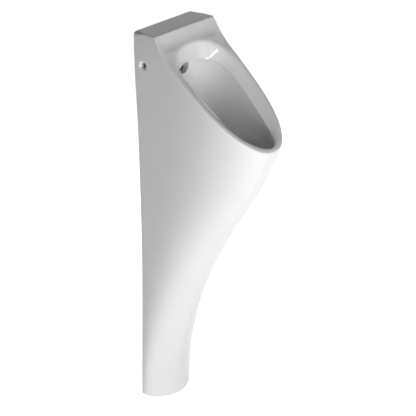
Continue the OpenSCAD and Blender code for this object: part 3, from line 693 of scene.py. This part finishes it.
def zinc_material():
    """Zinc plated steel with faint crystals."""
    finish = Finish("zinc_plate")
    cells = finish.add("TexVoronoi", {"Vector": finish.place, "Scale": 120})
    grey = finish.add("SeparateColor", {0: cells.outputs["Color"]}).outputs[0]
    return finish.surface({
        "Base Color": finish.blend(grey, (.52, .53, .55), (.68, .69, .70)),
        "Roughness": finish.ramp(finish.noise(90, detail=4), .28, .46),
        "Metallic": 1,
        "Normal": finish.bump(finish.noise(600), distance=.00004, strength=.4)})


materials = {
    "china": china_material(),
    "zinc_steel": zinc_material(),
    "black_steel": plastic_material("black_oxide", [(.042, .042, .046), (.06, .06, .062)],
                                    rough=(.38, .5), grain_depth=.00002),
    "chrome": metal_material("chrome", [(.80, .81, .82), (.76, .77, .79)],
                             rough=(.05, .12), grain=40, grain_depth=.00001),
    "white_plastic": plastic_material("white_plastic", [(.84, .84, .82), (.80, .80, .78)],
                                      rough=(.30, .42), grain_depth=.00003),
    "grey_plastic": plastic_material("grey_plastic", [(.44, .45, .46), (.40, .41, .42)],
                                     rough=(.34, .46), grain_depth=.00003),
    "rubber": plastic_material("rubber", [(.045, .045, .045), (.065, .065, .063)],
                               rough=(.62, .8), grain_depth=.00006),
}
china.data.materials.clear()
china.data.materials.append(materials["china"])

# The fittings, with the widths of the bevels along their edges in millimetres
EDGES = {"hanger_bracket_left": .8, "hanger_bracket_right": .8, "outlet_flange": .9, "strainer": .5,
         "trap_body": .8, "trap_cup": .7, "trap_union_nut": .7, "trap_outlet_nut": .8,
         "outlet_backnut": .9, "bracket_cage_nuts": .5, "clamp_screws": .4, "inlet_pipe": .3,
         "waste_pipe": .4, "trap_insert": .4}
OTHER_EDGES = .35
SHARP_ANGLE = 38  # degrees from which an edge stays sharp and has a bevel
FLAT_ANGLE = .6  # degrees up to which two faces are joined
slots = {part["node"]: part["material_slot"] for part in frame["record"]["subparts"]}
body_of = {node: body for body, members in frame["record"]["behaviour"]["bodies"].items()
           for node in members}


def dress(node):
    """A finer copy of a fitting: joined faces, rounded edges, its own finish."""
    mesh = frame["nodes"][node].data.copy()
    mesh.name = node + "_finish"
    bm = bmesh.new()
    bm.from_mesh(mesh)
    bmesh.ops.remove_doubles(bm, verts=bm.verts, dist=JOIN_CAD)
    bmesh.ops.dissolve_limit(bm, angle_limit=math.radians(FLAT_ANGLE), verts=bm.verts, edges=bm.edges)
    bm.to_mesh(mesh)
    bm.free()
    mesh.materials.clear()
    mesh.materials.append(materials[slots[node]])
    shade(mesh, SHARP_ANGLE)
    obj = bpy.data.objects.new(node + "_finish", mesh)
    scene.collection.objects.link(obj)
    bevel = obj.modifiers.new("edge", "BEVEL")
    bevel.width = EDGES.get(node, OTHER_EDGES) * MM
    bevel.segments = 3
    bevel.limit_method = "ANGLE"
    bevel.angle_limit = math.radians(SHARP_ANGLE)
    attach(obj, body_of[node])
    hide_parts(node)


for node in frame["nodes"]:
    if node != "ceramic_body":
        dress(node)


# Floor and background: white to the camera and in reflections, while only the lamps give light
def floor_material():
    """Matt floor with a glow that is a little dimmer round the part than farther out."""
    finish = Finish("floor_white")
    away = finish.add("VectorMath", {0: finish.place}, operation="LENGTH").outputs["Value"]
    level = finish.ramp(away, .9, 1, start=.6, end=1.8)
    shown = finish.add("Math", {0: finish.seen(), 1: level}, operation="MULTIPLY").outputs[0]
    glow = finish.add("Emission", {"Strength": shown})
    matt = finish.add("BsdfDiffuse", {"Color": (.8, .8, .8, 1)})
    both = finish.add("AddShader", {0: matt.outputs[0], 1: glow.outputs[0]})
    finish.add("OutputMaterial", {"Surface": both.outputs[0]})
    return finish.owner


FLOOR_HALF, FLOOR_Z = 9, -.25  # metres
floor_corners = [(x * FLOOR_HALF, y * FLOOR_HALF, FLOOR_Z)
                 for x, y in ((-1, -1), (1, -1), (1, 1), (-1, 1))]
floor = mesh_object("floor", floor_corners, [(0, 1, 2, 3)])
floor.data.materials.append(floor_material())

world = bpy.data.worlds.new("studio")
scene.world = world
studio = Nodes(world)
white = studio.add("Background", {"Color": (1, 1, 1, 1), "Strength": studio.seen()})
studio.add("OutputWorld", {"Surface": white.outputs[0]})

# Lamps round the part: degrees to the right of its front, degrees up, size in metres, watts
LAMPS = [("right_rear", 110, 12, 1.4, 31.5), ("front_low", -15, -12, 1.4, 32.5),
         ("front_left_low", -30, -12, 1.4, 22), ("left_low", -60, -12, 1.4, 15),
         ("right_low", 90, -12, 1.4, 7), ("behind", 180, 3, 1.4, 16), ("right_high", 90, 65, 1.4, 2),
         ("left_high", -50, 38, 1.4, 1), ("sparkle", -25, 11, .1, 11)]
LAMP_DISTANCE = 2.6
MIDDLE = Vector((0, -.15, .55))  # the point that all lamps face
for name, side_angle, height_angle, size, power in LAMPS:
    side, height = math.radians(side_angle), math.radians(height_angle)
    away = Vector((math.sin(side) * math.cos(height), -math.cos(side) * math.cos(height),
                   math.sin(height)))
    light = bpy.data.lights.new(name, "AREA")
    light.size, light.energy = size, power
    lamp = bpy.data.objects.new(name, light)
    scene.collection.objects.link(lamp)
    lamp.location = MIDDLE + away * LAMP_DISTANCE
    lamp.rotation_mode = "QUATERNION"
    lamp.rotation_quaternion = (-away).to_track_quat("-Z", "Y")
    lamp.visible_glossy = name == "sparkle"  # the only one whose reflection shows in the glaze

# Camera, from a fit to the photograph, with its place in metres
TURN, PITCH = math.radians(49), math.radians(21)
SENSOR, FOCAL_PX, PHOTO_PX = 36, 4500, 416
CAMERA_BACK, CAMERA_RIGHT, CAMERA_H = 10.305, .1089, 4.421
ahead = Vector((math.sin(TURN), math.cos(TURN), 0))
right = Vector((math.cos(TURN), -math.sin(TURN), 0))
look = ahead * math.cos(PITCH) - Vector((0, 0, 1)) * math.sin(PITCH)
axes = Matrix((right, right.cross(look), -look)).transposed().to_4x4()
camera = bpy.data.objects.new("camera", bpy.data.cameras.new("camera"))
scene.collection.objects.link(camera)
camera.data.sensor_width = SENSOR
camera.data.lens = SENSOR * FOCAL_PX / PHOTO_PX
camera.data.clip_start, camera.data.clip_end = .1, 100
place = ahead * -CAMERA_BACK + right * CAMERA_RIGHT + Vector((0, 0, CAMERA_H))
camera.matrix_world = Matrix.Translation(place) @ axes
scene.camera = camera
scene.view_settings.view_transform = "Standard"
